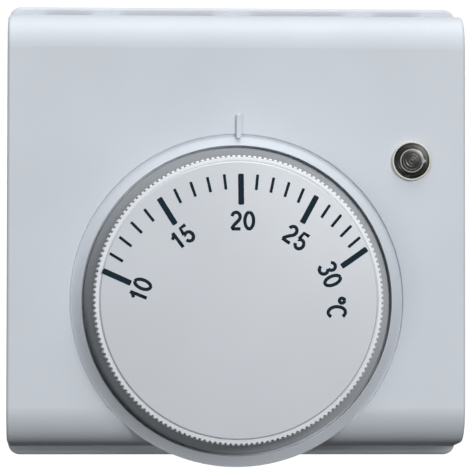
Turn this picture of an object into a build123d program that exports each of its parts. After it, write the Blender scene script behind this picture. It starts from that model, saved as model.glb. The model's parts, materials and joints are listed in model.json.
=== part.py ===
"""Mechanical wall thermostat, 10 to 30 degrees C, with a vapour diaphragm and a neon lamp.

+X is to the right, +Z is up and the wall is the plane Y = 0, with the room towards -Y.
A depth is a distance from the wall, so a point at depth d has Y = -d. Sizes are in millimetres.
"""
from build123d import *
from math import acos, cos, degrees, radians, sin, tan
import os

# ---- Base and cover -------------------------------------------------------------------------
base_side = 84.0
base_corner = 2.2
base_depth = 9.0
base_edge = 0.7
wall = 2.0

cover_front = 26.0
cover_rear = base_depth
cover_side = 84.0
cover_flat_half = 33.0
roll_radius = 6.5
roll_turn = 85.0
cover_edge = 0.6
cover_inside = cover_front - wall

# ---- Dial and its collar --------------------------------------------------------------------
dial_z = -13.3
collar_radius = 30.5
collar_step = 0.45
collar_top = 26.8
collar_bore = 28.4
trough_inner = 24.5
trough_floor = 24.9
beyond_cover = 30.0
dial_rear = 25.1
dial_front = 34.4
dial_skirt_radius = 28.05
dial_skirt_front = 25.6
dial_rim_radius = 25.87
dial_rim_front = 34.05
dial_groove_outer = dial_rim_radius - 0.5
dial_face_radius = 25.1
dial_draft = 0.18
ridge_count = 172
ridge_width = 0.5
ridge_height = 0.33
dial_roof = 32.6
hub_rear = 28.2
hub_radius = 6.0
rib_inner = 14.0
rib_outer = 18.0
rib_half_width = 0.8
dial_up = 72.0
dial_down = 80.0
limit_pin_radius = 1.0
index_x = 0.3
index_width = 0.9
index_low = 16.4
index_high = 20.9
index_height = 0.85

# ---- Spindle, bridge and carriage -----------------------------------------------------------
spindle_radius = 3.0
spindle_flat = 2.2
running_gap = 0.05
thread_radius = 4.0
thread_rear = 17.65
shoulder_rear = 21.4
shoulder_front = 22.35
bridge_rear = 22.4
sheet = 1.2
bridge_front = bridge_rear + sheet
bridge_half_width = 8.0
bridge_leg_x = 25.4
foot_x = 30.0
foot_end_x = 33.0
foot_depth = 5.0
post_x = 21.5
post_radius = 1.5
post_head_depth = 9.0
carriage_rear = 16.9
carriage_front = 18.3
carriage_radius = 19.0
carriage_hub_front = 20.6

# ---- Capsule --------------------------------------------------------------------------------
capsule_radius = 18.0
capsule_seam = 14.85
capsule_sheet = 0.3
pusher_tip = 11.75
pusher_seat = 13.45

# ---- Lever and snap switch ------------------------------------------------------------------
pivot_z = -30.3
pivot_depth = 9.0
pin_radius = 0.8
lever_half_width = 3.5
lever_rear = 8.6
lever_front = 9.4
switch_half = 8.0
switch_low = -24.0
switch_high = 0.0
switch_front = 7.0
lid_front = 7.8
button_z = -9.3
button_radius = 1.6
contact_z = -3.5
contact_radius = 1.2
blade_rear = 5.4
blade_front = 5.6
blade_root_z = -19.0

# ---- Terminals and wiring -------------------------------------------------------------------
terminal_x = [-34.5, -27.5, -20.5, -13.5]
block_low = 12.0
block_high = 24.0
block_front = 12.0
strip_half = 0.9
strip_sheet = 0.6
clamp_z = 18.0
wire_radius = 0.6

# ---- Lamp -----------------------------------------------------------------------------------
lamp_x = 32.05
lamp_z = 12.4
lamp_ring_outer = 3.6
lamp_ring_inner = 3.28
lamp_ring_front = 26.7
lens_radius = 3.25
sleeve_outer = 2.2
sleeve_inner = 1.9
sleeve_front = 24.6
bulb_radius = 1.8

# ---- Fixings --------------------------------------------------------------------------------
wall_screw_x = 30.0
wall_slot_length = 8.0
wall_slot_width = 4.5
entry_x = -21.0
entry_z = 32.0
entry_width = 20.0
entry_height = 10.0
cover_screw_z = dial_z + 22.0


def face_plane(depth, x=0.0, z=0.0):
    """Plane that faces the room at this depth: its x is +X and its y is +Z."""
    return Plane(origin=(x, -depth, z), x_dir=(1, 0, 0), z_dir=(0, -1, 0))


def radial_plane(x, z):
    """Plane through an axis that leaves the wall at x, z: its x is the radius, its y the depth."""
    return Plane(origin=(x, 0, z), x_dir=(1, 0, 0), z_dir=(0, 0, -1))


def side_plane(x):
    """Upright plane that runs from the wall into the room: its x is the depth, its y is +Z."""
    return Plane(origin=(x, 0, 0), x_dir=(0, -1, 0), z_dir=(-1, 0, 0))


def room_axis(x, z):
    """The line that leaves the wall at x, z."""
    return Axis((x, 0, z), (0, -1, 0))


def turn(x, z, *outline, mode=Mode.ADD):
    """Turns a closed outline of (radius, depth) points about the axis at x, z."""
    with BuildSketch(radial_plane(x, z)) as section:
        with BuildLine():
            Polyline(*outline, close=True)
        make_face()
    revolve(section.sketch, axis=room_axis(x, z), mode=mode)


def turn_sheet(x, z, thickness, bend, *path):
    """Turns a thin sheet that follows a path of (radius, depth) points about the axis at x, z."""
    with BuildSketch(radial_plane(x, z)) as section:
        with BuildLine():
            FilletPolyline(*path, radius=bend)
        trace(line_width=thickness)
    revolve(section.sketch, axis=room_axis(x, z))


def rod(x, z, radius, rear, front, mode=Mode.ADD):
    """Round bar along the depth, from rear to front."""
    with BuildSketch(face_plane(rear, x, z)) as section:
        Circle(radius)
    extrude(section.sketch, amount=front - rear, mode=mode)


def block(x_low, x_high, z_low, z_high, rear, front, mode=Mode.ADD):
    """Rectangular block between two values each of X, Z and depth."""
    plane = face_plane(rear, (x_low + x_high) / 2, (z_low + z_high) / 2)
    with BuildSketch(plane) as section:
        Rectangle(x_high - x_low, z_high - z_low)
    extrude(section.sketch, amount=front - rear, mode=mode)


def cross_rod(z, depth, radius, x_low, x_high, mode=Mode.ADD):
    """Round bar along X, from x_low to x_high."""
    with BuildSketch(side_plane(x_high)) as section:
        with Locations((depth, z)):
            Circle(radius)
    extrude(section.sketch, amount=x_high - x_low, mode=mode)


def tube(radius, bend, *path):
    """Round wire along a path of (x, z, depth) points with bends of one radius."""
    points = [(x, -depth, z) for x, z, depth in path]
    with BuildLine() as run:
        if len(points) > 2:
            FilletPolyline(*points, radius=bend)
        else:
            Line(*points)
    with BuildSketch(Plane(origin=run.line @ 0, z_dir=run.line % 0)) as section:
        Circle(radius)
    sweep(section.sketch, path=run.line)


def d_section():
    """Round section of the spindle with its flat."""
    with BuildSketch(face_plane(hub_rear, 0, dial_z)) as section:
        Circle(spindle_radius)
        with Locations((spindle_flat + 1, 0)):
            Rectangle(2, 2 * spindle_radius, mode=Mode.SUBTRACT)
    return section.sketch


def rolled_section(inset, rear):
    """Cover's section, inset from its outer surface: a flat front with a roll above and below."""
    centre = cover_front - roll_radius
    radius = roll_radius - inset
    end_depth = centre + radius * cos(radians(roll_turn))
    end_z = cover_flat_half + radius * sin(radians(roll_turn))
    rear_z = end_z + (end_depth - rear) / tan(radians(roll_turn))
    with BuildSketch(side_plane(0)) as section:
        with BuildLine():
            upper = CenterArc((centre, cover_flat_half), radius, 0, roll_turn)
            lower = CenterArc((centre, -cover_flat_half), radius, -roll_turn, roll_turn)
            Line(lower @ 1, upper @ 0)
            Polyline(upper @ 1, (rear, rear_z), (rear, -rear_z), lower @ 0)
        make_face()
    return section.sketch


def save(piece, label):
    """Labels a finished piece and writes its STEP file."""
    piece.part.label = label
    export_step(piece.part, f"parts/{label}.step")


os.makedirs("parts", exist_ok=True)

# ==== Base ===================================================================================
boss_front = foot_depth
mark_spacing = 26.0
mark_radius = 2.5
mark_depth = 0.15
with BuildPart() as rear_base:
    with BuildSketch(face_plane(0)):
        RectangleRounded(base_side, base_side, base_corner)
    extrude(amount=base_depth)
    fillet(rear_base.faces().sort_by(Axis.Y)[0].edges(), base_edge)
    with BuildSketch(face_plane(wall)):
        RectangleRounded(base_side - 2 * wall, base_side - 2 * wall, base_corner / 2)
    extrude(amount=base_depth, mode=Mode.SUBTRACT)
    for side in (-1, 1):
        rod(side * foot_x, dial_z, 4.0, wall, boss_front)
        rod(side * foot_x, dial_z, 1.4, 1.0, boss_front, mode=Mode.SUBTRACT)
    rod(0, cover_screw_z, 3.0, wall, cover_inside)
    rod(0, cover_screw_z, 1.25, 14.0, cover_inside, mode=Mode.SUBTRACT)
    with BuildSketch(face_plane(0)):
        with Locations((-wall_screw_x, 0), (wall_screw_x, 0)):
            SlotOverall(wall_slot_length, wall_slot_width)
        with Locations((entry_x, entry_z)):
            RectangleRounded(entry_width, entry_height, 1.5)
    extrude(amount=wall, mode=Mode.SUBTRACT)
    with BuildSketch(face_plane(0)):
        with GridLocations(2 * mark_spacing, mark_spacing, 2, 3):
            Circle(mark_radius)
    extrude(amount=mark_depth, mode=Mode.SUBTRACT)
save(rear_base, "rear_base")

# ==== Cover ==================================================================================
top_vents = [(3.4, 21.0), (26.5, 35.0)]
bottom_gap = (11.5, 38.0)
vent_depth = 1.8
step_depth = cover_front - collar_step
pin_angles = [dial_up - 90 + 6.9, -dial_down - 90 - 6.9]
pin_circle = (rib_inner + rib_outer) / 2
pin_places = [
    (pin_circle * cos(radians(a)), dial_z + pin_circle * sin(radians(a))) for a in pin_angles
]

with BuildPart() as front_cover:
    extrude(rolled_section(0, cover_rear), amount=cover_side / 2, both=True)
    side_faces = front_cover.faces().filter_by(Axis.X)
    side_edges = side_faces.edges().filter_by(lambda e: e.center().Y < -cover_rear - 0.1)
    fillet(side_edges, cover_edge)
    turn(0, dial_z, (0, step_depth), (collar_radius - 0.1, step_depth),
         (collar_radius + 0.1, cover_front), (collar_radius + 0.1, beyond_cover),
         (0, beyond_cover),
         mode=Mode.SUBTRACT)
    turn(0, dial_z, (0, cover_rear), (collar_radius - 0.1, cover_rear),
         (collar_radius - 0.1, step_depth),
         (collar_bore + 0.35, collar_top - 0.15), (collar_bore + 0.1, collar_top),
         (collar_bore, collar_top), (collar_bore, cover_front), (0, cover_front))
    turn(0, dial_z, (trough_inner, trough_floor), (collar_bore, trough_floor),
         (collar_bore, beyond_cover), (trough_inner, beyond_cover), mode=Mode.SUBTRACT)
    extrude(rolled_section(wall, cover_rear - 1), amount=cover_side / 2 - wall, both=True,
            mode=Mode.SUBTRACT)
    rod(0, dial_z, collar_bore, cover_rear - 1, cover_inside, mode=Mode.SUBTRACT)
    for side in (-1, 1):
        for near, far in top_vents:
            low, high = sorted((side * near, side * far))
            block(low, high, 36, 42, cover_rear - 1, cover_rear + vent_depth,
                  mode=Mode.SUBTRACT)
        low, high = sorted((side * bottom_gap[0], side * bottom_gap[1]))
        block(low, high, -42, -36, cover_rear - 1, cover_rear + vent_depth - 0.4,
              mode=Mode.SUBTRACT)
        low, high = sorted((side * 28.0, side * 34.0))
        block(low, high, -38.9, -37.9, 5.5, cover_rear + 5)
    rod(0, dial_z, 7.2, cover_inside - 1, cover_front + 1, mode=Mode.SUBTRACT)
    rod(0, cover_screw_z, 1.6, cover_inside - 1, cover_front + 1, mode=Mode.SUBTRACT)
    rod(0, cover_screw_z, 2.6, cover_front - 1, cover_front + 1, mode=Mode.SUBTRACT)
    rod(lamp_x, lamp_z, lamp_ring_outer, cover_inside - 1, cover_front + 1, mode=Mode.SUBTRACT)
    for x, z in pin_places:
        rod(x, z, limit_pin_radius, cover_inside + 0.5, cover_front + 1, mode=Mode.SUBTRACT)
    with BuildSketch(face_plane(cover_front - 1, index_x, (index_low + index_high) / 2)):
        RectangleRounded(index_width, index_high - index_low, 0.3)
    extrude(amount=1 + index_height)
    index_top = front_cover.faces().filter_by(Axis.Y).sort_by(
        lambda f: (f.center() - Vector(index_x, -cover_front - index_height, 18.5)).length)[0]
    fillet(index_top.edges(), 0.2)
save(front_cover, "front_cover")

with BuildPart() as cover_screw:
    rod(0, cover_screw_z, 1.25, 14.2, cover_front - 1)
    turn(0, cover_screw_z, (0, cover_front - 1), (2.3, cover_front - 1), (2.3, 26.2),
         (1.8, 26.9), (0, 26.9))
    block(-0.35, 0.35, cover_screw_z - 3, cover_screw_z + 3, 26.0, 27, mode=Mode.SUBTRACT)
save(cover_screw, "cover_screw")

with BuildPart() as limit_pins:
    for x, z in pin_places:
        turn(x, z, (0, cover_inside + 0.5), (limit_pin_radius, cover_inside + 0.5),
             (limit_pin_radius, 28.8), (0.7, 29.1), (0, 29.1))
save(limit_pins, "limit_pins")

# ==== Dial ===================================================================================
with BuildPart() as ridge:
    with BuildSketch(radial_plane(0, dial_z)):
        with BuildLine():
            Polyline((dial_groove_outer, dial_skirt_front + 0.3),
                     (dial_rim_radius + ridge_height + dial_draft, dial_skirt_front + 0.3),
                     (dial_rim_radius + ridge_height, dial_rim_front - 0.2),
                     (dial_rim_radius + ridge_height - 0.2, dial_rim_front),
                     (dial_groove_outer, dial_rim_front), close=True)
        make_face()
    extrude(amount=ridge_width / 2, both=True)

with BuildPart() as dial_knob:
    turn(0, dial_z, (0, dial_roof), (23.8, dial_roof), (24.9, dial_rear),
         (dial_skirt_radius, dial_rear), (dial_skirt_radius, dial_skirt_front - 0.1),
         (dial_skirt_radius - 0.1, dial_skirt_front),
         (dial_rim_radius + dial_draft, dial_skirt_front),
         (dial_rim_radius, dial_rim_front - 0.1), (dial_rim_radius - 0.1, dial_rim_front),
         (dial_groove_outer, dial_rim_front), (dial_groove_outer, dial_rim_front - 0.15),
         (dial_face_radius + 0.05, dial_rim_front - 0.15),
         (dial_face_radius, 34.2), (dial_face_radius - 0.2, dial_front), (0, dial_front))
    add([ridge.part.rotate(room_axis(0, dial_z), 360 * i / ridge_count)
         for i in range(ridge_count)])
    rod(0, dial_z, hub_radius, hub_rear, dial_roof + 0.5)
    block(-rib_half_width, rib_half_width, dial_z - rib_outer, dial_z - rib_inner,
          27.0, dial_roof + 0.5)
    extrude(d_section(), amount=31.8 - hub_rear, mode=Mode.SUBTRACT)
save(dial_knob, "dial_knob")

# ==== Spindle and its bearing ================================================================
groove_radius = 2.4
groove_rear = 27.3
groove_front = 27.9
with BuildPart() as spindle:
    turn(0, dial_z, (0, thread_rear), (thread_radius - 0.4, thread_rear),
         (thread_radius, thread_rear + 0.4), (thread_radius, shoulder_rear),
         (5.0, shoulder_rear), (5.0, shoulder_front), (spindle_radius, shoulder_front),
         (spindle_radius, groove_rear), (groove_radius, groove_rear),
         (groove_radius, groove_front), (spindle_radius, groove_front),
         (spindle_radius, hub_rear), (0, hub_rear))
    extrude(d_section(), amount=31.8 - hub_rear)
save(spindle, "spindle")

with BuildPart() as spindle_bush:
    turn(0, dial_z, (spindle_radius + running_gap, bridge_rear), (5.0, bridge_rear),
         (5.0, bridge_front), (6.6, bridge_front), (6.6, 24.3), (4.6, 24.3), (4.6, 26.2),
         (4.4, 26.4), (spindle_radius + running_gap, 26.4))
save(spindle_bush, "spindle_bush")

with BuildPart() as spring_washer:
    turn(0, dial_z, (3.2, 27.0), (4.4, 26.46), (4.4, 26.71), (3.2, 27.25))
save(spring_washer, "spring_washer")

with BuildPart() as spindle_clip:
    with BuildSketch(face_plane(groove_rear, 0, dial_z)):
        Circle(5.0)
        Circle(groove_radius, mode=Mode.SUBTRACT)
        with Locations((0, -4)):
            Rectangle(2 * groove_radius - 0.8, 8, mode=Mode.SUBTRACT)
        with Locations((-3.9, 0), (3.9, 0)):
            Circle(0.6, mode=Mode.SUBTRACT)
    extrude(amount=groove_front - groove_rear)
save(spindle_clip, "spindle_clip")

# ==== Bridge =================================================================================
with BuildPart() as bridge_bracket:
    foot_mid = foot_depth + sheet / 2
    plate_mid = bridge_rear + sheet / 2
    with BuildSketch(radial_plane(0, dial_z)):
        with BuildLine():
            FilletPolyline((-foot_end_x, foot_mid), (-bridge_leg_x, foot_mid),
                           (-bridge_leg_x, plate_mid), (bridge_leg_x, plate_mid),
                           (bridge_leg_x, foot_mid), (foot_end_x, foot_mid), radius=1.5)
        trace(line_width=sheet)
    extrude(amount=bridge_half_width, both=True)
    rod(0, dial_z, 5.0, bridge_rear - 1, bridge_front + 1, mode=Mode.SUBTRACT)
    for side in (-1, 1):
        rod(side * post_x, dial_z, post_radius, bridge_rear - 1, bridge_front + 1,
            mode=Mode.SUBTRACT)
        rod(side * foot_x, dial_z, 1.6, foot_depth - 1, foot_depth + 2, mode=Mode.SUBTRACT)
save(bridge_bracket, "bridge_bracket")

with BuildPart() as bracket_screws:
    for side in (-1, 1):
        x = side * foot_x
        head = foot_depth + sheet
        turn(x, dial_z, (0, 1.2), (1.4, 1.2), (1.4, head), (2.8, head), (2.8, head + 1.1),
             (2.2, head + 1.8), (0, head + 1.8))
        block(x - 3, x + 3, dial_z - 0.35, dial_z + 0.35, head + 1.0, head + 2,
              mode=Mode.SUBTRACT)
save(bracket_screws, "bracket_screws")

with BuildPart() as guide_posts:
    for side in (-1, 1):
        turn(side * post_x, dial_z, (0, post_head_depth - 1), (2.4, post_head_depth - 1),
             (2.4, post_head_depth), (post_radius, post_head_depth),
             (post_radius, bridge_front), (0, bridge_front))
save(guide_posts, "guide_posts")

# ==== Carriage ===============================================================================
vent_circle = 12.5
with BuildPart() as capsule_carriage:
    rod(0, dial_z, carriage_radius, carriage_rear, carriage_front)
    block(-24.2, 24.2, dial_z - 3.2, dial_z + 3.2, carriage_rear, carriage_front)
    turn(0, dial_z, (capsule_radius + 0.05, 13.95), (carriage_radius, 13.95),
         (carriage_radius, carriage_rear), (capsule_radius + 0.05, carriage_rear))
    for i in range(3):
        with BuildSketch(face_plane(13.95, 0, dial_z)) as lip:
            with PolarLocations(capsule_radius, 1, start_angle=30 + 120 * i):
                Rectangle(1.6, 5)
        extrude(lip.sketch, amount=0.5)
    rod(0, dial_z, 7.0, carriage_front, carriage_hub_front)
    with BuildSketch(face_plane(carriage_rear - 1, 0, dial_z)):
        with PolarLocations(vent_circle, 6):
            Circle(2.4)
    extrude(amount=carriage_front - carriage_rear + 2, mode=Mode.SUBTRACT)
    rod(0, dial_z, thread_radius + 0.1, carriage_rear - 1, carriage_hub_front + 1,
        mode=Mode.SUBTRACT)
    for side in (-1, 1):
        rod(side * post_x, dial_z, post_radius + 0.08, carriage_rear - 1, carriage_front + 1,
            mode=Mode.SUBTRACT)
save(capsule_carriage, "capsule_carriage")

spring_wire = 0.18
spring_radius = 1.95
spring_low = post_head_depth + spring_wire + 0.02
spring_high = carriage_rear - spring_wire - 0.02
with BuildPart() as carriage_springs:
    for side in (-1, 1):
        with BuildLine() as coil:
            Helix(pitch=1.25, height=spring_high - spring_low, radius=spring_radius,
                  center=(side * post_x, -spring_low, dial_z), direction=(0, -1, 0))
        with BuildSketch(Plane(origin=coil.line @ 0, z_dir=coil.line % 0)):
            Circle(spring_wire)
        sweep(path=coil.line)
save(carriage_springs, "carriage_springs")

# ==== Vapour capsule =========================================================================
with BuildPart() as capsule_front_shell:
    mid = capsule_seam + capsule_sheet / 2
    turn_sheet(0, dial_z, capsule_sheet, 0.4, (capsule_radius, mid), (16.6, mid), (15.9, 16.5),
               (12.0, 16.5), (11.4, 16.0), (9.2, 16.0), (8.6, 16.5), (0, 16.5))
    rod(vent_circle, dial_z, 0.55, 16.2, 17.0, mode=Mode.SUBTRACT)
save(capsule_front_shell, "capsule_front_shell")

with BuildPart() as capsule_diaphragm:
    mid = capsule_seam - capsule_sheet / 2
    turn_sheet(0, dial_z, capsule_sheet, 0.4, (capsule_radius, mid), (16.6, mid), (15.9, 13.6),
               (12.6, 13.6), (12.0, 14.1), (10.0, 14.1), (9.4, 13.6), (7.6, 13.6),
               (7.0, 14.1), (5.6, 14.1), (5.0, 13.6), (0, 13.6))
save(capsule_diaphragm, "capsule_diaphragm")

with BuildPart() as capsule_fill_tube:
    turn(vent_circle, dial_z, (0, 16.35), (0.55, 16.35), (0.55, 16.65), (0.9, 16.65),
         (0.9, 19.2), (0.45, 20.2), (0, 20.2))
save(capsule_fill_tube, "capsule_fill_tube")

with BuildPart() as pusher_button:
    turn(0, dial_z, (0, pusher_tip), (1.4, pusher_tip), (2.0, pusher_tip + 0.6), (2.0, 12.9),
         (4.2, 12.9), (4.2, pusher_seat), (0, pusher_seat))
save(pusher_button, "pusher_button")

# ==== Lever ==================================================================================
ear_inner = 5.0
ear_outer = 5.8
with BuildPart() as lever_bracket:
    block(-ear_outer, ear_outer, -33.4, -27.2, wall, 2.8)
    for side in (-1, 1):
        low, high = sorted((side * ear_inner, side * ear_outer))
        block(low, high, pivot_z - 2.2, pivot_z + 2.2, wall, pivot_depth)
        cross_rod(pivot_z, pivot_depth, 2.2, low, high)
    cross_rod(pivot_z, pivot_depth, pin_radius, -7, 7, mode=Mode.SUBTRACT)
save(lever_bracket, "lever_bracket")

with BuildPart() as lever_pin:
    cross_rod(pivot_z, pivot_depth, pin_radius, -6.4, 6.4)
    cross_rod(pivot_z, pivot_depth, 1.3, -6.4, -ear_outer)
    cross_rod(pivot_z, pivot_depth, 1.1, ear_outer, 6.4)
save(lever_pin, "lever_pin")

with BuildPart() as switch_lever:
    block(-lever_half_width, lever_half_width, pivot_z, -6.4, lever_rear, lever_front)
    cross_rod(pivot_z, pivot_depth, 1.65, -lever_half_width, lever_half_width)
    cross_rod(pivot_z, pivot_depth, pin_radius + running_gap, -7, 7, mode=Mode.SUBTRACT)
    rod(0, dial_z, 1.0, lever_rear - 1, lever_front + 1, mode=Mode.SUBTRACT)
    with BuildSketch(face_plane(lever_rear - 1, 0, -22.0)):
        SlotOverall(6.0, 2.4, rotation=90)
    extrude(amount=3, mode=Mode.SUBTRACT)
save(switch_lever, "switch_lever")

with BuildPart() as calibration_screw:
    turn(0, dial_z, (0, 8.35), (0.8, 8.35), (1.0, 8.55), (1.0, lever_front),
         (1.9, lever_front), (1.9, 10.1), (0, 10.1))
    block(-2, 2, dial_z - 0.25, dial_z + 0.25, 9.7, 11, mode=Mode.SUBTRACT)
save(calibration_screw, "calibration_screw")

# ==== Snap switch ============================================================================
strip_front = wall + strip_sheet
open_z = -3.4
closed_z = -8.0
line_z = -20.6
with BuildPart() as switch_housing:
    block(-switch_half, switch_half, switch_low, switch_high, wall, switch_front)
    block(1 - switch_half, switch_half - 1, switch_low + 1, switch_high - 1, wall,
          switch_front, mode=Mode.SUBTRACT)
    for z in (open_z, closed_z, line_z):
        block(-switch_half - 1, 2 - switch_half, z - strip_half - 0.05, z + strip_half + 0.05,
              wall, strip_front + 0.1, mode=Mode.SUBTRACT)
save(switch_housing, "switch_housing")

with BuildPart() as switch_lid:
    block(-switch_half, switch_half, switch_low, switch_high, switch_front, lid_front)
    block(2 - switch_half, switch_half - 2, switch_low + 1.5, -18.5, lid_front, 8.1)
    rod(0, button_z, button_radius + 0.07, switch_front - 1, lid_front + 1,
        mode=Mode.SUBTRACT)
save(switch_lid, "switch_lid")

with BuildPart() as switch_button:
    turn(0, button_z, (0, 5.65), (0.8, 5.65), (0.8, 6.0), (2.4, 6.0), (2.4, 6.6),
         (button_radius, 6.6), (button_radius, 8.35), (button_radius - 0.2, 8.55), (0, 8.55))
save(switch_button, "switch_button")

with BuildPart() as contact_blade:
    block(-2.5, 2.5, blade_root_z, -2.2, blade_rear, blade_front)
    for side in (-1, 1):
        low, high = sorted((side * 1.2, side * 1.7))
        block(low, high, -17.0, -11.5, 5, 6, mode=Mode.SUBTRACT)
    rod(0, contact_z, 0.6, 5, 6, mode=Mode.SUBTRACT)
save(contact_blade, "contact_blade")

with BuildPart() as blade_contacts:
    turn(0, contact_z, (0, 4.9), (contact_radius - 0.2, 4.9), (contact_radius, 5.1),
         (contact_radius, blade_rear), (0.6, blade_rear), (0.6, blade_front),
         (contact_radius, blade_front), (contact_radius, 5.9), (contact_radius - 0.2, 6.1),
         (0, 6.1))
save(blade_contacts, "blade_contacts")

closed_rear = 6.35
closed_front = 6.85
lower_contact_front = 4.15
with BuildPart() as fixed_contacts:
    turn(0, contact_z, (0, strip_front), (contact_radius, strip_front),
         (contact_radius, lower_contact_front - 0.2),
         (contact_radius - 0.2, lower_contact_front), (0, lower_contact_front))
    turn(0, contact_z, (0, 6.15), (contact_radius - 0.1, 6.15),
         (contact_radius, closed_rear), (0, closed_rear))
save(fixed_contacts, "fixed_contacts")


def strip_tail(x):
    """Copper tail that leaves a terminal clamp and steps down to the base's floor."""
    block(x - strip_half, x + strip_half, block_low - strip_sheet, 20.0, 4.0, 4.0 + strip_sheet)
    block(x - strip_half, x + strip_half, block_low - strip_sheet, block_low, wall,
          4.0 + strip_sheet)


def strip_run(*corners):
    """Flat copper strip on the base's floor, along straight runs between (x, z) corners."""
    for (x0, z0), (x1, z1) in zip(corners, corners[1:]):
        block(min(x0, x1) - strip_half, max(x0, x1) + strip_half, min(z0, z1) - strip_half,
              max(z0, z1) + strip_half, wall, strip_front)


tail_z = block_low - strip_half
with BuildPart() as line_strip:
    strip_tail(terminal_x[0])
    strip_run((terminal_x[0], tail_z), (terminal_x[0], 9.4), (-37.4, 9.4), (-37.4, line_z),
              (1.2, line_z))
    block(-2.0, 2.0, line_z - strip_half, blade_root_z - 0.05, strip_front, 6.2)
save(line_strip, "line_strip")

with BuildPart() as closed_strip:
    strip_tail(terminal_x[1])
    strip_run((terminal_x[1], tail_z), (terminal_x[1], 8.6), (-23.6, 8.6), (-23.6, closed_z),
              (-6.8, closed_z))
    block(-6.8, -6.2, closed_z - strip_half, closed_z + strip_half, strip_front, closed_front)
    block(-6.8, -4.6, closed_z - strip_half, -2.3, closed_rear, closed_front)
    block(-4.6, 1.3, -4.7, -2.3, closed_rear, closed_front)
save(closed_strip, "closed_strip")

with BuildPart() as open_strip:
    strip_tail(terminal_x[2])
    strip_run((terminal_x[2], tail_z), (terminal_x[2], open_z), (0.6, open_z))
save(open_strip, "open_strip")

with BuildPart() as neutral_strip:
    strip_tail(terminal_x[3])
    strip_run((terminal_x[3], tail_z), (terminal_x[3], 8.8))
save(neutral_strip, "neutral_strip")

# ==== Terminal block =========================================================================
with BuildPart() as terminal_block:
    block(terminal_x[0] - 4.0, terminal_x[3] + 4.0, block_low, block_high, wall, block_front)
    for x in terminal_x:
        block(x - 2.6, x + 2.6, 14.0, block_high + 1, 3.0, 9.4, mode=Mode.SUBTRACT)
        block(x - strip_half, x + strip_half, block_low - 1, 15.0, 4.0, 4.0 + strip_sheet,
              mode=Mode.SUBTRACT)
        rod(x, clamp_z, 2.2, 9.0, block_front + 1, mode=Mode.SUBTRACT)
    for x in terminal_x[1:]:
        block(x - 3.8, x - 3.2, block_low, block_high, block_front, block_front + 1.0)
save(terminal_block, "terminal_block")

with BuildPart() as terminal_clamps:
    for x in terminal_x:
        block(x - 2.4, x + 2.4, 14.6, 21.4, 3.0, 9.2)
        block(x - 1.6, x + 1.6, 14, 22, 4.0, 7.2, mode=Mode.SUBTRACT)
        rod(x, clamp_z, 1.25, 7, 10, mode=Mode.SUBTRACT)
save(terminal_clamps, "terminal_clamps")

with BuildPart() as terminal_screws:
    for x in terminal_x:
        turn(x, clamp_z, (0, 6.4), (1.25, 6.4), (1.25, 9.2), (2.0, 9.2), (2.0, 11.0),
             (0, 11.0))
        block(x - 2.5, x + 2.5, clamp_z - 0.3, clamp_z + 0.3, 10.2, 12, mode=Mode.SUBTRACT)
save(terminal_screws, "terminal_screws")

# ==== Lamp ===================================================================================
with BuildPart() as lamp_bezel:
    turn(lamp_x, lamp_z, (lamp_ring_inner, 23.0), (4.6, 23.0), (4.6, cover_inside),
         (lamp_ring_outer, cover_inside), (lamp_ring_outer, lamp_ring_front - 0.15),
         (lamp_ring_outer - 0.12, lamp_ring_front), (lamp_ring_inner, lamp_ring_front))
save(lamp_bezel, "lamp_bezel")

lens_rear = 25.0
lens_front = 27.0
lens_crown = 12.0
with BuildPart() as indicator_lens:
    rim_angle = degrees(acos(lens_radius / lens_crown))
    with BuildSketch(radial_plane(lamp_x, lamp_z)):
        with BuildLine():
            crown = CenterArc((0, lens_front - lens_crown), lens_crown, rim_angle,
                              90 - rim_angle)
            Polyline(crown @ 1, (0, lens_rear + 0.7), (lens_radius - 0.3, lens_rear),
                     (lens_radius - 0.3, 23.4), (lens_radius, 23.4), crown @ 0)
        make_face()
    revolve(axis=room_axis(lamp_x, lamp_z))
save(indicator_lens, "indicator_lens")

holder_half = 3.5
with BuildPart() as lamp_holder:
    block(lamp_x - holder_half, lamp_x + holder_half, lamp_z - holder_half,
          lamp_z + holder_half, wall, 9.0)
    block(lamp_x - holder_half + 1, lamp_x + holder_half - 1, lamp_z - holder_half + 1,
          lamp_z + holder_half - 1, wall, 8.0, mode=Mode.SUBTRACT)
    turn(lamp_x, lamp_z, (sleeve_inner, 9.0), (sleeve_outer, 9.0), (sleeve_outer, sleeve_front),
         (sleeve_inner, sleeve_front))
    with BuildSketch(face_plane(22.6, lamp_x, lamp_z)):
        with BuildLine():
            Polyline((2.05, 0.42), (2.85, -0.1), (2.05, -0.42), close=True)
        make_face()
    extrude(amount=sleeve_front - 22.6)
    with BuildSketch(face_plane(22.6, lamp_x, lamp_z)):
        with BuildLine():
            outer = CenterArc((0, 0), 2.5, 22, 40)
            inner = CenterArc((0, 0), 2.1, 22, 40)
            Line(outer @ 0, inner @ 0)
            Line(outer @ 1, inner @ 1)
        make_face()
    extrude(amount=sleeve_front - 22.6)
    for side in (-1, 1):
        rod(lamp_x + 0.6 * side, lamp_z, 0.3, 7, 10, mode=Mode.SUBTRACT)
    block(lamp_x - holder_half - 1, lamp_x - holder_half + 2, lamp_z - 1.4, lamp_z + 1.4,
          wall, 4.2, mode=Mode.SUBTRACT)
    block(lamp_x - 0.6, lamp_x + 0.6, lamp_z + holder_half - 2, lamp_z + holder_half + 1,
          wall, 4.2, mode=Mode.SUBTRACT)
save(lamp_holder, "lamp_holder")

with BuildPart() as neon_bulb:
    turn(lamp_x, lamp_z, (0, 11.2), (1.5, 11.2), (bulb_radius, 12.0), (bulb_radius, 21.4),
         (1.0, 22.6), (0.35, 23.0), (0, 23.6), (0, 22.2), (0.7, 22.0), (1.45, 21.2),
         (1.45, 12.6), (0, 12.6))
    for side in (-1, 1):
        rod(lamp_x + 0.6 * side, lamp_z, 0.25, 11, 13, mode=Mode.SUBTRACT)
save(neon_bulb, "neon_bulb")

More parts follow.
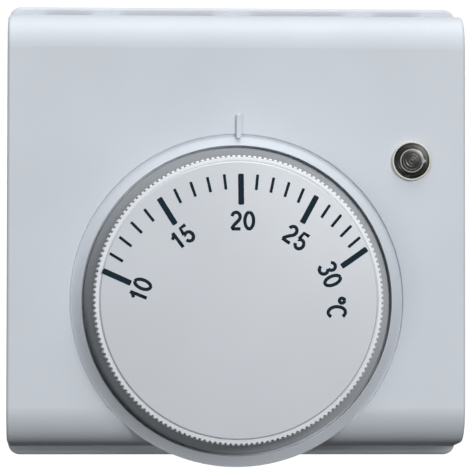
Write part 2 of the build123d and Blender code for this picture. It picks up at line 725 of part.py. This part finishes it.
with BuildPart() as neon_electrodes:
    for side in (-1, 1):
        rod(lamp_x + 0.6 * side, lamp_z, 0.25, 4.0, 13.5)
        rod(lamp_x + 0.6 * side, lamp_z, 0.45, 13.5, 20.0)
save(neon_electrodes, "neon_electrodes")

with BuildPart() as lamp_resistor:
    cross_rod(22.0, 3.7, 1.3, 20.5, 27.5)
    tube(0.3, 1.0, (18.1, 22.0, 3.7), (20.6, 22.0, 3.7))
    tube(0.3, 1.0, (27.4, 22.0, 3.7), (lamp_x, 22.0, 3.7), (lamp_x, lamp_z + 2.2, 3.7))
save(lamp_resistor, "lamp_resistor")

with BuildPart() as lamp_wires:
    tube(wire_radius, 1.5, (terminal_x[3], 9.0, 3.2), (terminal_x[3], 3.8, 3.2),
         (24.0, 3.8, 3.2), (24.0, lamp_z, 3.2), (lamp_x - 2.0, lamp_z, 3.2))
    tube(wire_radius, 1.5, (terminal_x[2] + 0.9, 1.9, 3.2), (17.5, 1.9, 3.2),
         (17.5, 5.5, 6.0), (17.5, 12.0, 3.7), (17.5, 22.4, 3.7))
save(lamp_wires, "lamp_wires")

# ==== Small heater below the capsule =========================================================
with BuildPart() as heater_resistor:
    cross_rod(-36.8, 4.2, 1.2, -4.0, 4.0)
    tube(0.3, 1.0, (-3.9, -36.8, 4.2), (-9.5, -36.8, 4.2), (-9.5, line_z, 2.95))
    tube(0.3, 1.0, (3.9, -36.8, 4.2), (12.0, -36.8, 4.2), (12.0, 1.35, 3.2))
save(heater_resistor, "heater_resistor")
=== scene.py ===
"""Looks of the mechanical wall thermostat.

Adds the printed scale, the ringed lens and the return springs to the frame's nodes, gives every
piece a procedural material, and sets up light, floor and camera. Metres, in the frame's own axes.
"""
import json
from math import cos, pi, radians, sin, sqrt

import bmesh
import bpy
from mathutils import Matrix, Vector


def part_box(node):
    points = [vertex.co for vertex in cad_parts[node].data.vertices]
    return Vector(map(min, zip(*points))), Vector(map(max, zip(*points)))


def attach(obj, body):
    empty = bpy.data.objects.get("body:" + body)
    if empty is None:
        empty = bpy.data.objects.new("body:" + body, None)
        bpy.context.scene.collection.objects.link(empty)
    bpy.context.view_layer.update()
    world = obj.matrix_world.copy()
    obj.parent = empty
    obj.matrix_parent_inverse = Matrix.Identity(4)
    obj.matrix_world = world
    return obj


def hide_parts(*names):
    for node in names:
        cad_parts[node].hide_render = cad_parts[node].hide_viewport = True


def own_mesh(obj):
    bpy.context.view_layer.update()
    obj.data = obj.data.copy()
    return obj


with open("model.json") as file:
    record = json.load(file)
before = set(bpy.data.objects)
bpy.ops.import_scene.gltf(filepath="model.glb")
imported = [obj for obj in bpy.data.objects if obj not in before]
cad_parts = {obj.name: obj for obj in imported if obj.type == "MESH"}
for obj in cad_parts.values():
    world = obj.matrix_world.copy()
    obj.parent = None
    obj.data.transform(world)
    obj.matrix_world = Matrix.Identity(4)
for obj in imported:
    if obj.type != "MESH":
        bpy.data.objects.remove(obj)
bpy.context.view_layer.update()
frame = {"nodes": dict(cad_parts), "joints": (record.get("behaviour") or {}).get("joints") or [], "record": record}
MM = 0.001

# ---- Places taken from the frame ------------------------------------------------------------
dial_joint = next(j for j in frame["joints"] if j["name"] == "dial_turn")
DIAL_CENTRE = Vector((dial_joint["pos_m"][0], 0.0, dial_joint["pos_m"][2]))
DIAL_FACE_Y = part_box("dial_knob")[0].y
lens_low, lens_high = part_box("indicator_lens")
LAMP_CENTRE = (lens_low + lens_high) / 2
LENS_FRONT_Y = lens_low.y

# ---- Dial's three zones: face, knurled rim and skirt ----------------------------------------
FACE_RADIUS = 25.2 * MM      # the face ends and the rim begins
RIM_DEPTH = 31.0 * MM        # the rim's painted highlight starts here and is full 2 mm further out
RIM_FADE = 2.0 * MM
SKIRT_RADIUS = 25.7 * MM     # the skirt's painted shade begins outside this radius
SKIRT_DEPTH = 26.2 * MM      # and lies nearer the wall than this
SKIRT_FADE = 0.2 * MM
ZONE_FADE = 0.1 * MM
FACE_COLOUR = (0.62, 0.65, 0.69)
# painted highlight: the knurled rim is drawn lighter than the face of the same plastic
RIM_HIGHLIGHT_COLOUR = (0.78, 0.81, 0.84)
# painted shade: the skirt down in the collar's well is drawn grey for the shade of the recess
SKIRT_SHADE_COLOUR = (0.33, 0.35, 0.37)
DIAL_DOME = 1.8              # bump: the face falls away by this times its radius squared

# ---- Printed scale --------------------------------------------------------------------------
SCALE_DROP = 3.42 * MM       # the scale's own centre lies below the dial's
SCALE_SHIFT = 0.17 * MM      # and a little to its right
SCALE_MIDDLE = 20            # the temperature at the scale's top
SCALE_START = 0.44           # degrees of turn at that temperature
SCALE_STEP = 6.64            # degrees of turn for one degree of temperature
SCALE_CROWDING = 0.052       # by which the steps shrink towards the warm end
TICK_LEAN = 0.91             # a tick leans by this share of its angle
TICK_LEAN_OFFSET = 1.2       # less this many degrees
INK_COLOUR = (0.005, 0.016, 0.027)
INK_THICKNESS = 0.02 * MM
MINOR_RADIUS = 24.91 * MM
MINOR_LENGTH = 2.8 * MM
MINOR_WIDTH = 0.52 * MM
MAJOR_RADIUS = 23.47 * MM
MAJOR_LENGTH = 5.6 * MM
MAJOR_WIDTH = 1.04 * MM
LABEL_HEIGHT = 3.4 * MM
LABEL_STROKE = 0.31 * MM
# Characters, radius in mm, clockwise angle and lean in degrees.
LABELS = (
    ("10", 18.7, -74, -68),
    ("15", 18.1, -35.5, -37),
    ("20", 17.8, 1.5, 0),
    ("25", 17.9, 34.5, 34),
    ("30", 18.2, 63.5, 67),
    (("degree", "C"), 17.6, 83.5, 88),
)

# ---- Camera ---------------------------------------------------------------------------------
CAMERA_PLACE = Vector((-29.2, -626.0, -19.1)) * MM
CAMERA_YAW = radians(2.754)
CAMERA_PITCH = radians(1.699)
CAMERA_ROLL = radians(0.089)
CAMERA_LENS = 251.6


# ==== Node helpers ===========================================================================
class Graph:
    """Short calls for building one material's nodes."""

    def __init__(self, name):
        self.material = bpy.data.materials.new(name)
        self.material.use_nodes = True
        self.nodes = self.material.node_tree.nodes
        self.links = self.material.node_tree.links
        self.shader = self.nodes["Principled BSDF"]
        self.place = self.add("ShaderNodeTexCoord").outputs["Object"]

    def add(self, kind, **settings):
        node = self.nodes.new(kind)
        for key, value in settings.items():
            setattr(node, key, value)
        return node

    def stretch(self, scale, turn=(0, 0, 0)):
        """Coordinates scaled unevenly, for brushed and drawn surfaces."""
        mapping = self.add("ShaderNodeMapping")
        mapping.inputs["Scale"].default_value = scale
        mapping.inputs["Rotation"].default_value = turn
        self.links.new(self.place, mapping.inputs["Vector"])
        return mapping.outputs["Vector"]

    def noise(self, scale, detail=3.0, rough=0.55, where=None):
        node = self.add("ShaderNodeTexNoise")
        node.inputs["Scale"].default_value = scale
        node.inputs["Detail"].default_value = detail
        node.inputs["Roughness"].default_value = rough
        self.links.new(where or self.place, node.inputs["Vector"])
        return node.outputs["Fac"]

    def span(self, value, low, high, from_low=0.3, from_high=0.7):
        node = self.add("ShaderNodeMapRange")
        node.inputs["From Min"].default_value = from_low
        node.inputs["From Max"].default_value = from_high
        node.inputs["To Min"].default_value = low
        node.inputs["To Max"].default_value = high
        self.links.new(value, node.inputs["Value"])
        return node.outputs["Result"]

    def blend(self, value, low, high):
        """Colour between two colours by a noise value."""
        node = self.add("ShaderNodeMix", data_type="RGBA")
        node.inputs["A"].default_value = (*low, 1)
        node.inputs["B"].default_value = (*high, 1)
        self.links.new(self.span(value, 0, 1), node.inputs["Factor"])
        return node.outputs["Result"]

    def product(self, one, two):
        node = self.add("ShaderNodeMath", operation="MULTIPLY")
        self.links.new(one, node.inputs[0])
        self.links.new(two, node.inputs[1])
        return node.outputs[0]

    def overlay(self, share, under, colour):
        """A plain colour laid over another colour by a share from 0 to 1."""
        node = self.add("ShaderNodeMix", data_type="RGBA")
        self.links.new(share, node.inputs["Factor"])
        self.links.new(under, node.inputs["A"])
        node.inputs["B"].default_value = (*colour, 1)
        return node.outputs["Result"]

    def bump(self, value, strength, height, under=None):
        node = self.add("ShaderNodeBump")
        node.inputs["Strength"].default_value = strength
        node.inputs["Distance"].default_value = height
        self.links.new(value, node.inputs["Height"])
        if under is not None:
            self.links.new(under, node.inputs["Normal"])
        return node.outputs["Normal"]

    def drive(self, socket, value):
        self.links.new(value, self.shader.inputs[socket])

    def fix(self, **values):
        for key, value in values.items():
            self.shader.inputs[key.replace("_", " ")].default_value = value


def shade(colour, amount):
    return tuple(max(0.0, c * amount) for c in colour)


def plastic(name, colour, rough=0.42, grain=0.02, grain_scale=9000, waviness=0.03, tint=0.03):
    """Moulded plastic: fine eroded grain, faint flow waves and slight colour drift."""
    g = Graph(name)
    drift = g.noise(38, detail=2)
    g.drive("Base Color", g.blend(drift, shade(colour, 1 - tint), shade(colour, 1 + tint)))
    mottle = g.noise(700, detail=4)
    g.drive("Roughness", g.span(mottle, rough - 0.05, rough + 0.05))
    waves = g.bump(g.noise(90, detail=1), waviness, 0.25 * MM)
    g.drive("Normal", g.bump(g.noise(grain_scale, detail=2), grain, 0.02 * MM, under=waves))
    return g


def dial_plastic():
    """The dial's satin face with a faint dome, a painted highlight on its rim and painted shade on the skirt down
    in the collar.
    """
    g = plastic("dial_white", FACE_COLOUR, rough=0.40)
    split = g.add("ShaderNodeSeparateXYZ")
    offset = g.add("ShaderNodeVectorMath", operation="SUBTRACT")
    offset.inputs[1].default_value = DIAL_CENTRE
    flat = g.add("ShaderNodeCombineXYZ")
    length = g.add("ShaderNodeVectorMath", operation="LENGTH")
    g.links.new(g.place, offset.inputs[0])
    g.links.new(offset.outputs[0], split.inputs[0])
    g.links.new(split.outputs["X"], flat.inputs["X"])
    g.links.new(split.outputs["Z"], flat.inputs["Z"])
    g.links.new(flat.outputs[0], length.inputs[0])
    radius = length.outputs["Value"]
    square = g.add("ShaderNodeMath", operation="POWER")
    square.inputs[1].default_value = 2
    g.links.new(radius, square.inputs[0])
    grain = g.shader.inputs["Normal"].links[0].from_socket
    g.drive("Normal", g.bump(square.outputs[0], 1.0, -DIAL_DOME, under=grain))
    # painted highlight on the rim, masked by the rim's radius and depth
    rim_highlight_share = g.product(
        g.span(radius, 0, 1, FACE_RADIUS, FACE_RADIUS + ZONE_FADE),
        g.span(split.outputs["Y"], 0, 1, -RIM_DEPTH, -RIM_DEPTH - RIM_FADE))
    # painted shade on the skirt in the collar's well, masked by radius and depth
    skirt_shade_share = g.product(
        g.span(radius, 0, 1, SKIRT_RADIUS, SKIRT_RADIUS + ZONE_FADE),
        g.span(split.outputs["Y"], 0, 1, -SKIRT_DEPTH, -SKIRT_DEPTH + SKIRT_FADE))
    face_colour = g.shader.inputs["Base Color"].links[0].from_socket
    with_rim_highlight = g.overlay(rim_highlight_share, face_colour, RIM_HIGHLIGHT_COLOUR)
    g.drive("Base Color", g.overlay(skirt_shade_share, with_rim_highlight, SKIRT_SHADE_COLOUR))
    return g


def metal(name, colour, rough=0.3, brush=(400, 400, 9000), turn=(0, 0, 0), grain=0.15):
    """Metal with drawn or turned marks along one direction."""
    g = Graph(name)
    marks = g.noise(1.0, detail=4, where=g.stretch(brush, turn))
    stain = g.noise(220, detail=3)
    g.drive("Base Color", g.blend(stain, shade(colour, 0.86), shade(colour, 1.06)))
    g.drive("Roughness", g.span(marks, rough - 0.08, rough + 0.12))
    g.drive("Normal", g.bump(marks, grain, 0.02 * MM))
    g.fix(Metallic=1.0)
    return g


def clear(name, colour, rough=0.03, ior=1.49, ripple=0.05):
    """Clear or tinted plastic or glass with faint surface ripples."""
    g = Graph(name)
    g.drive("Base Color", g.blend(g.noise(500), shade(colour, 0.92), shade(colour, 1.05)))
    g.drive("Roughness", g.span(g.noise(1500), rough, rough + 0.03))
    g.drive("Normal", g.bump(g.noise(600, detail=1), ripple, 0.05 * MM))
    g.fix(IOR=ior, Transmission_Weight=1.0)
    return g


def make_materials():
    """One procedural material for each slot that a node uses, and for the ink and lens ring."""
    made = {
        "cover_white": plastic("cover_white", (0.60, 0.64, 0.69), rough=0.54),
        "dial_white": dial_plastic(),
        "base_white": plastic("base_white", (0.58, 0.61, 0.66), rough=0.48, grain=0.04),
        "ivory": plastic("ivory", (0.60, 0.60, 0.53), rough=0.4),
        "black_plastic": plastic("black_plastic", (0.022, 0.022, 0.025), rough=0.45, tint=0.15),
        "grey_plastic": plastic("grey_plastic", (0.20, 0.21, 0.23), rough=0.5, tint=0.08),
        "wire_white": plastic("wire_white", (0.66, 0.65, 0.60), rough=0.5, tint=0.05),
        "resistor": plastic("resistor", (0.42, 0.25, 0.12), rough=0.32, tint=0.12),
        "zinc_steel": metal("zinc_steel", (0.62, 0.64, 0.66), rough=0.34),
        "screw_steel": metal("screw_steel", (0.60, 0.60, 0.61), rough=0.28),
        "spring_steel": metal("spring_steel", (0.46, 0.46, 0.48), rough=0.25),
        "electrode": metal("electrode", (0.58, 0.56, 0.53), rough=0.38),
        "silver": metal("silver", (0.86, 0.85, 0.82), rough=0.22),
        "brass": metal("brass", (0.70, 0.50, 0.20), rough=0.26, brush=(4000, 400, 4000)),
        "bronze": metal("bronze", (0.62, 0.38, 0.20), rough=0.3),
        "copper": metal("copper", (0.72, 0.36, 0.20), rough=0.32),
        "smoke_lens": clear("smoke_lens", (0.48, 0.48, 0.41), rough=0.28, ripple=0.008),
        "lens_ring": plastic("lens_ring", (0.36, 0.36, 0.34), rough=0.35),
        "bulb_glass": clear("bulb_glass", (0.95, 0.95, 0.94), ior=1.5),
    }
    ink = Graph("ink")
    patchy = ink.noise(2500, detail=3)
    ink.drive("Base Color", ink.blend(patchy, shade(INK_COLOUR, 0.8), shade(INK_COLOUR, 1.5)))
    ink.drive("Roughness", ink.span(patchy, 0.55, 0.7))
    ink.fix(Specular_IOR_Level=0.12)
    ink.drive("Normal", ink.bump(ink.noise(6000), 0.1, 0.02 * MM))
    made["ink"] = ink
    return {name: g.material for name, g in made.items()}


MATERIALS = make_materials()


def dress(obj, name):
    """Gives a mesh one material in every slot."""
    slots = obj.data.materials
    if not slots:
        slots.append(MATERIALS[name])
    for i in range(len(slots)):
        slots[i] = MATERIALS[name]


for row in frame["record"]["subparts"]:
    dress(frame["nodes"][row["node"]], row["material_slot"])


# ==== Mesh helpers ===========================================================================
def mesh_object(name, bm, material, body):
    """Makes a piece from a bmesh, dresses it and lets it ride on its body."""
    bmesh.ops.recalc_face_normals(bm, faces=bm.faces)
    mesh = bpy.data.meshes.new(name)
    bm.to_mesh(mesh)
    bm.free()
    obj = bpy.data.objects.new(name, mesh)
    bpy.context.scene.collection.objects.link(obj)
    dress(obj, material)
    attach(obj, body)
    return obj


def turned_piece(name, centre, outline, steps, material, body):
    """Closed (radius, depth from Y = 0) outline turned about the axis through centre along Y."""
    bm = bmesh.new()
    points = [bm.verts.new((centre.x + r, -d, centre.z)) for r, d in outline]
    edges = [bm.edges.new((a, b)) for a, b in zip(points, points[1:] + points[:1])]
    bmesh.ops.spin(bm, geom=points + edges, cent=centre, axis=(0, 1, 0), angle=2 * pi,
                   steps=steps, use_merge=True)
    bmesh.ops.remove_doubles(bm, verts=bm.verts, dist=1e-7)
    for face in bm.faces:
        face.smooth = True
    return mesh_object(name, bm, material, body)


# ==== Printed scale ==========================================================================
SCALE_CENTRE = Vector((SCALE_SHIFT, DIAL_FACE_Y, DIAL_CENTRE.z - SCALE_DROP))


def scale_angle(temperature):
    """Clockwise angle of a temperature about the scale's centre, from straight up."""
    k = temperature - SCALE_MIDDLE
    return radians(SCALE_START + SCALE_STEP * k - SCALE_CROWDING * k * k)


def scale_turn(temperature):
    """How far that temperature's tick leans: a little less than its angle."""
    return TICK_LEAN * scale_angle(temperature) - radians(TICK_LEAN_OFFSET)


def on_scale(radius, angle):
    return SCALE_CENTRE + Vector((radius * sin(angle), 0, radius * cos(angle)))


def add_tick(bm, centre, lean, length, width):
    """One flat bar of ink with slightly rounded corners, half sunk into the dial's face."""
    corner = 0.22 * width
    outline = []
    for sx, sz, start in ((1, 1, 0), (-1, 1, 90), (-1, -1, 180), (1, -1, 270)):
        for step in range(4):
            a = radians(start + 30 * step)
            outline.append((sx * (width / 2 - corner) + corner * cos(a),
                            sz * (length / 2 - corner) + corner * sin(a)))
    rings = []
    for y in (INK_THICKNESS, -INK_THICKNESS):
        ring = []
        for x, z in outline:
            along = Vector((x * cos(lean) + z * sin(lean), y, -x * sin(lean) + z * cos(lean)))
            ring.append(bm.verts.new(centre + along))
        rings.append(ring)
    bm.faces.new(rings[0])
    bm.faces.new(rings[1][::-1])
    count = len(outline)
    for i in range(count):
        j = (i + 1) % count
        bm.faces.new((rings[0][i], rings[1][i], rings[1][j], rings[0][j]))


def make_ticks():
    bm = bmesh.new()
    for temperature in range(10, 31):
        major = temperature % 5 == 0
        radius, length, width = (
            (MAJOR_RADIUS, MAJOR_LENGTH, MAJOR_WIDTH) if major
            else (MINOR_RADIUS, MINOR_LENGTH, MINOR_WIDTH))
        centre = on_scale(radius, scale_angle(temperature))
        add_tick(bm, centre, scale_turn(temperature), length, width)
    return mesh_object("scale_ticks", bm, "ink", "dial")


def arc(cx, cz, rx, rz, start, end, steps=14):
    """Points of an elliptical arc, angles in degrees counter-clockwise from +X."""
    return [(cx + rx * cos(radians(start + (end - start) * i / steps)),
             cz + rz * sin(radians(start + (end - start) * i / steps)))
            for i in range(steps + 1)]


# Strokes of each character in a box 1 high, with its advance width.
GLYPHS = {
    "0": (0.70, [arc(0.35, 0.5, 0.23, 0.44, 90, 450, 28)]),
    "1": (0.70, [[(0.22, 0.70), (0.34, 0.76), (0.42, 0.86), (0.45, 0.97)],
                 [(0.45, 0.98), (0.45, 0.03)]]),
    "2": (0.70, [arc(0.35, 0.70, 0.215, 0.24, 172, -28, 16)
                 + [(0.48, 0.50), (0.28, 0.30), (0.17, 0.16), (0.14, 0.06)],
                 [(0.11, 0.06), (0.59, 0.06)]]),
    "3": (0.70, [arc(0.34, 0.73, 0.20, 0.21, 165, -75, 14),
                 arc(0.34, 0.28, 0.23, 0.23, 80, -165, 16)]),
    "5": (0.70, [[(0.55, 0.93), (0.22, 0.93), (0.165, 0.52)],
                 [(0.165, 0.50)] + arc(0.34, 0.31, 0.225, 0.255, 135, -165, 18)]),
    "C": (0.72, [arc(0.36, 0.5, 0.30, 0.46, 42, 318, 22)]),
    "degree": (0.42, [arc(0.17, 0.80, 0.13, 0.14, 90, 450, 16)]),
}


def add_label(curve, characters, centre, lean):
    """Adds a word's strokes to the ink curve, centred on a point and leaning clockwise."""
    width = sum(GLYPHS[c][0] for c in characters)
    cursor = -width / 2
    for c in characters:
        advance, strokes = GLYPHS[c]
        for stroke in strokes:
            spline = curve.splines.new("POLY")
            spline.points.add(len(stroke) - 1)
            for point, (sx, sz) in zip(spline.points, stroke):
                x = (cursor + sx) * LABEL_HEIGHT
                z = (sz - 0.5) * LABEL_HEIGHT
                place = centre + Vector((x * cos(lean) + z * sin(lean), 0,
                                         -x * sin(lean) + z * cos(lean)))
                point.co = (place.x, place.z, 0, 1)
        cursor += advance


def make_numbers():
    """Numbers as flattened strokes of ink that lie on the dial's face."""
    curve = bpy.data.curves.new("scale_numbers", "CURVE")
    curve.dimensions = "3D"
    curve.bevel_depth = LABEL_STROKE
    curve.bevel_resolution = 2
    curve.use_fill_caps = True
    for characters, radius, angle, lean in LABELS:
        add_label(curve, characters, on_scale(radius * MM, radians(angle)), radians(lean))
    flat = bpy.data.objects.new("flat", curve)
    bpy.context.scene.collection.objects.link(flat)
    bpy.context.view_layer.update()
    graph = bpy.context.evaluated_depsgraph_get()
    mesh = bpy.data.meshes.new_from_object(flat.evaluated_get(graph))
    bpy.data.objects.remove(flat)
    squeeze = INK_THICKNESS / LABEL_STROKE
    mesh.transform(Matrix(((1, 0, 0, 0), (0, 0, squeeze, DIAL_FACE_Y), (0, 1, 0, 0), (0, 0, 0, 1))))
    bm = bmesh.new()
    bm.from_mesh(mesh)
    bmesh.ops.remove_doubles(bm, verts=bm.verts, dist=1e-8)
    return mesh_object("scale_numbers", bm, "ink", "dial")


# ==== Lens ===================================================================================
LENS_RADIUS = (lens_high.x - lens_low.x) / 2
LENS_STEPS = ((0.40, 0.02), (0.90, 0.04), (1.45, 0.04), (2.60, 0.03))   # mm: radius, depth
LENS_CROWN = 12.0 * MM


def lens_front(radius):
    """Depth of the lens's crown at a radius, with its moulded rings sunk into it."""
    depth = -LENS_FRONT_Y - (LENS_CROWN - sqrt(LENS_CROWN ** 2 - radius ** 2))
    for ring, sink in LENS_STEPS:
        away = abs(radius - ring * MM) / (0.22 * MM)
        if away < 1:
            depth -= sink * MM * (1 + cos(pi * away)) / 2
    return depth


def make_lens():
    """Domed lens with concentric moulded rings and a short skirt behind its edge."""
    rings = 72
    front = [(LENS_RADIUS * i / rings, lens_front(LENS_RADIUS * i / rings))
             for i in range(rings + 1)]
    front[0] = (1e-6, front[0][1])
    back = -lens_high.y
    skirt = LENS_RADIUS - 0.3 * MM
    dish = front[-1][1] - 1.4 * MM
    outline = front + [(LENS_RADIUS, back), (skirt, back), (skirt, dish), (1e-6, dish + 0.6 * MM)]
    lens = turned_piece("ringed_lens", LAMP_CENTRE, outline, 96, "smoke_lens", "housing")
    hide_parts("indicator_lens")


RING_INNER = 1.95            # mm, from the lens's middle
RING_OUTER = 2.14
RING_HALF = 0.05 * MM        # half of the ring's thickness
# painted highlight: the pale ring is widened over this arc on the lit upper right
HIGHLIGHT_PATCH_START = 22             # degrees counter-clockwise from +X, seen from the room
HIGHLIGHT_PATCH_SPAN = 40
HIGHLIGHT_PATCH_EXTRA = 0.22           # mm that the patch adds to the ring's outer radius
NUB_HALF = 12
NUB_EXTRA = 0.62


def ring_reach(angle):
    """Outer radius of the pale ring in the lens: a thicker patch at the upper right, which is a painted highlight,
    and one pointed nub.
    """
    reach = RING_OUTER
    if HIGHLIGHT_PATCH_START <= angle <= HIGHLIGHT_PATCH_START + HIGHLIGHT_PATCH_SPAN:
        # painted highlight: the ring is drawn wider toward the light
        reach += HIGHLIGHT_PATCH_EXTRA * sin(pi * (angle - HIGHLIGHT_PATCH_START) / HIGHLIGHT_PATCH_SPAN) ** 0.5
    nub = min(angle, 360 - angle)
    if nub < NUB_HALF:
        reach += NUB_EXTRA * (1 - nub / NUB_HALF)
    return reach * MM


def make_lens_ring():
    """Pale moulded ring half sunk into the front of the lens, widened at the upper right by a painted highlight.
    """
    inner = RING_INNER * MM
    bm = bmesh.new()
    rings = []
    for step in range(180):
        angle = 2 * step
        turn = Vector((cos(radians(angle)), 0, sin(radians(angle))))
        loop = []
        outer = ring_reach(angle)
        for radius, push in ((inner, RING_HALF), (outer, RING_HALF),
                             (outer, -RING_HALF), (inner, -RING_HALF)):
            place = Vector((LAMP_CENTRE.x, 0, LAMP_CENTRE.z)) + turn * radius
            place.y = -lens_front(radius) - push
            loop.append(bm.verts.new(place))
        rings.append(loop)
    for near, far in zip(rings, rings[1:] + rings[:1]):
        for i in range(4):
            j = (i + 1) % 4
            bm.faces.new((near[i], near[j], far[j], far[i]))
    return mesh_object("lens_ring", bm, "lens_ring", "housing")


# ==== Carriage springs =======================================================================
SPRING_WIRE = 0.18 * MM
SPRING_PITCH = 1.25 * MM
COIL_STEPS = 28              # steps in one turn
WIRE_SIDES = 8


def add_spring(bm, x, z, radius, near, far):
    """Wire wound into a coil about a line along Y, from y = near to y = far."""
    steps = round(COIL_STEPS * abs(far - near) / SPRING_PITCH)
    rings = []
    for i in range(steps + 1):
        a = 2 * pi * i / COIL_STEPS
        outward = Vector((cos(a), 0, sin(a)))
        middle = Vector((x, near + (far - near) * i / steps, z)) + radius * outward
        ring = []
        for k in range(WIRE_SIDES):
            b = 2 * pi * k / WIRE_SIDES
            ring.append(bm.verts.new(
                middle + SPRING_WIRE * (cos(b) * outward + sin(b) * Vector((0, 1, 0)))))
        rings.append(ring)
    for one, two in zip(rings, rings[1:]):
        for k in range(WIRE_SIDES):
            j = (k + 1) % WIRE_SIDES
            bm.faces.new((one[k], one[j], two[j], two[k]))
    bm.faces.new(rings[0])
    bm.faces.new(rings[-1][::-1])


def make_springs():
    """The two return springs as fixed coils on the housing; in the real thing they shorten as the carriage is
    wound towards the wall.
    """
    low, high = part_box("carriage_springs")
    outer = (high.z - low.z) / 2
    bm = bmesh.new()
    for x in (low.x + outer, high.x - outer):
        add_spring(bm, x, (low.z + high.z) / 2, outer - SPRING_WIRE,
                   high.y - SPRING_WIRE, low.y + SPRING_WIRE)
    springs = mesh_object("return_springs", bm, "spring_steel", "housing")
    for face in springs.data.polygons:
        face.use_smooth = True
    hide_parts("carriage_springs")
    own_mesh(springs)


make_springs()
make_lens()
make_lens_ring()
make_ticks()
make_numbers()


# ==== Light, floor and camera ================================================================
WORLD_LIGHT = 0.22
WORLD_SEEN = 1.05
FLOOR_HALF = 0.3
FLOOR_HEIGHT = -1.5


def area_light(name, place, size, energy, colour=(1, 1, 1)):
    """Soft square light that faces the thermostat's middle."""
    data = bpy.data.lights.new(name, "AREA")
    data.size = size
    data.energy = energy
    data.color = colour
    lamp = bpy.data.objects.new(name, data)
    lamp.location = place
    lamp.rotation_euler = (-Vector(place)).to_track_quat("-Z", "Y").to_euler()
    bpy.context.scene.collection.objects.link(lamp)


def make_world():
    """Pale surroundings: white where they are seen, and as a light bright above and dim below."""
    world = bpy.data.worlds.new("surroundings")
    bpy.context.scene.world = world
    world.use_nodes = True
    nodes, links = world.node_tree.nodes, world.node_tree.links
    background = nodes["Background"]
    background.inputs["Strength"].default_value = WORLD_LIGHT
    direction = nodes.new("ShaderNodeTexCoord")
    height = nodes.new("ShaderNodeSeparateXYZ")
    ramp = nodes.new("ShaderNodeValToRGB")
    shift = nodes.new("ShaderNodeMapRange")
    shift.inputs["From Min"].default_value = -1
    links.new(direction.outputs["Generated"], height.inputs[0])
    links.new(height.outputs["Z"], shift.inputs["Value"])
    links.new(shift.outputs["Result"], ramp.inputs["Fac"])
    stops = ramp.color_ramp.elements
    stops[0].position, stops[0].color = 0.36, (0.07, 0.07, 0.08, 1)
    stops[1].position, stops[1].color = 0.80, (0.93, 0.96, 1.0, 1)
    links.new(ramp.outputs["Color"], background.inputs["Color"])
    seen = nodes.new("ShaderNodeBackground")
    seen.inputs["Color"].default_value = (1, 1, 1, 1)
    seen.inputs["Strength"].default_value = WORLD_SEEN
    path = nodes.new("ShaderNodeLightPath")
    mix = nodes.new("ShaderNodeMixShader")
    links.new(path.outputs["Is Camera Ray"], mix.inputs["Fac"])
    links.new(background.outputs[0], mix.inputs[1])
    links.new(seen.outputs[0], mix.inputs[2])
    links.new(mix.outputs[0], nodes["World Output"].inputs["Surface"])


def make_floor():
    """Plain pale floor well below the thermostat, which hangs on a wall in use."""
    bm = bmesh.new()
    bmesh.ops.create_grid(bm, x_segments=1, y_segments=1, size=FLOOR_HALF)
    mesh = bpy.data.meshes.new("floor")
    bm.to_mesh(mesh)
    bm.free()
    floor = bpy.data.objects.new("floor", mesh)
    floor.location = (0, 0, FLOOR_HEIGHT)
    bpy.context.scene.collection.objects.link(floor)
    pale = Graph("pale_floor")
    pale.drive("Base Color", pale.blend(pale.noise(3), (0.86, 0.87, 0.88), (0.9, 0.9, 0.91)))
    pale.drive("Roughness", pale.span(pale.noise(20), 0.75, 0.85))
    mesh.materials.append(pale.material)


def make_camera():
    data = bpy.data.cameras.new("camera")
    data.lens = CAMERA_LENS
    data.sensor_width = 36.0
    data.clip_start = 0.01
    data.clip_end = 50
    camera = bpy.data.objects.new("camera", data)
    ahead = Vector((sin(CAMERA_YAW) * cos(CAMERA_PITCH), cos(CAMERA_YAW) * cos(CAMERA_PITCH),
                    sin(CAMERA_PITCH)))
    right = Vector((cos(CAMERA_YAW), -sin(CAMERA_YAW), 0))
    up = right.cross(ahead)
    tilted_right = right * cos(CAMERA_ROLL) + up * sin(CAMERA_ROLL)
    tilted_up = up * cos(CAMERA_ROLL) - right * sin(CAMERA_ROLL)
    turned = Matrix((tilted_right, tilted_up, -ahead)).transposed()
    camera.matrix_world = Matrix.Translation(CAMERA_PLACE) @ turned.to_4x4()
    bpy.context.scene.collection.objects.link(camera)
    bpy.context.scene.camera = camera


make_world()
make_floor()
area_light("front", (0.76, -2.16, 0.66), 0.9, 32)
area_light("top", (0.30, -0.32, 2.05), 1.5, 36)
area_light("fill", (-1.1, -1.5, -0.4), 0.8, 8)
area_light("back", (-0.7, 2.2, 0.5), 0.9, 26)
make_camera()
bpy.context.scene.view_settings.view_transform = "Standard"
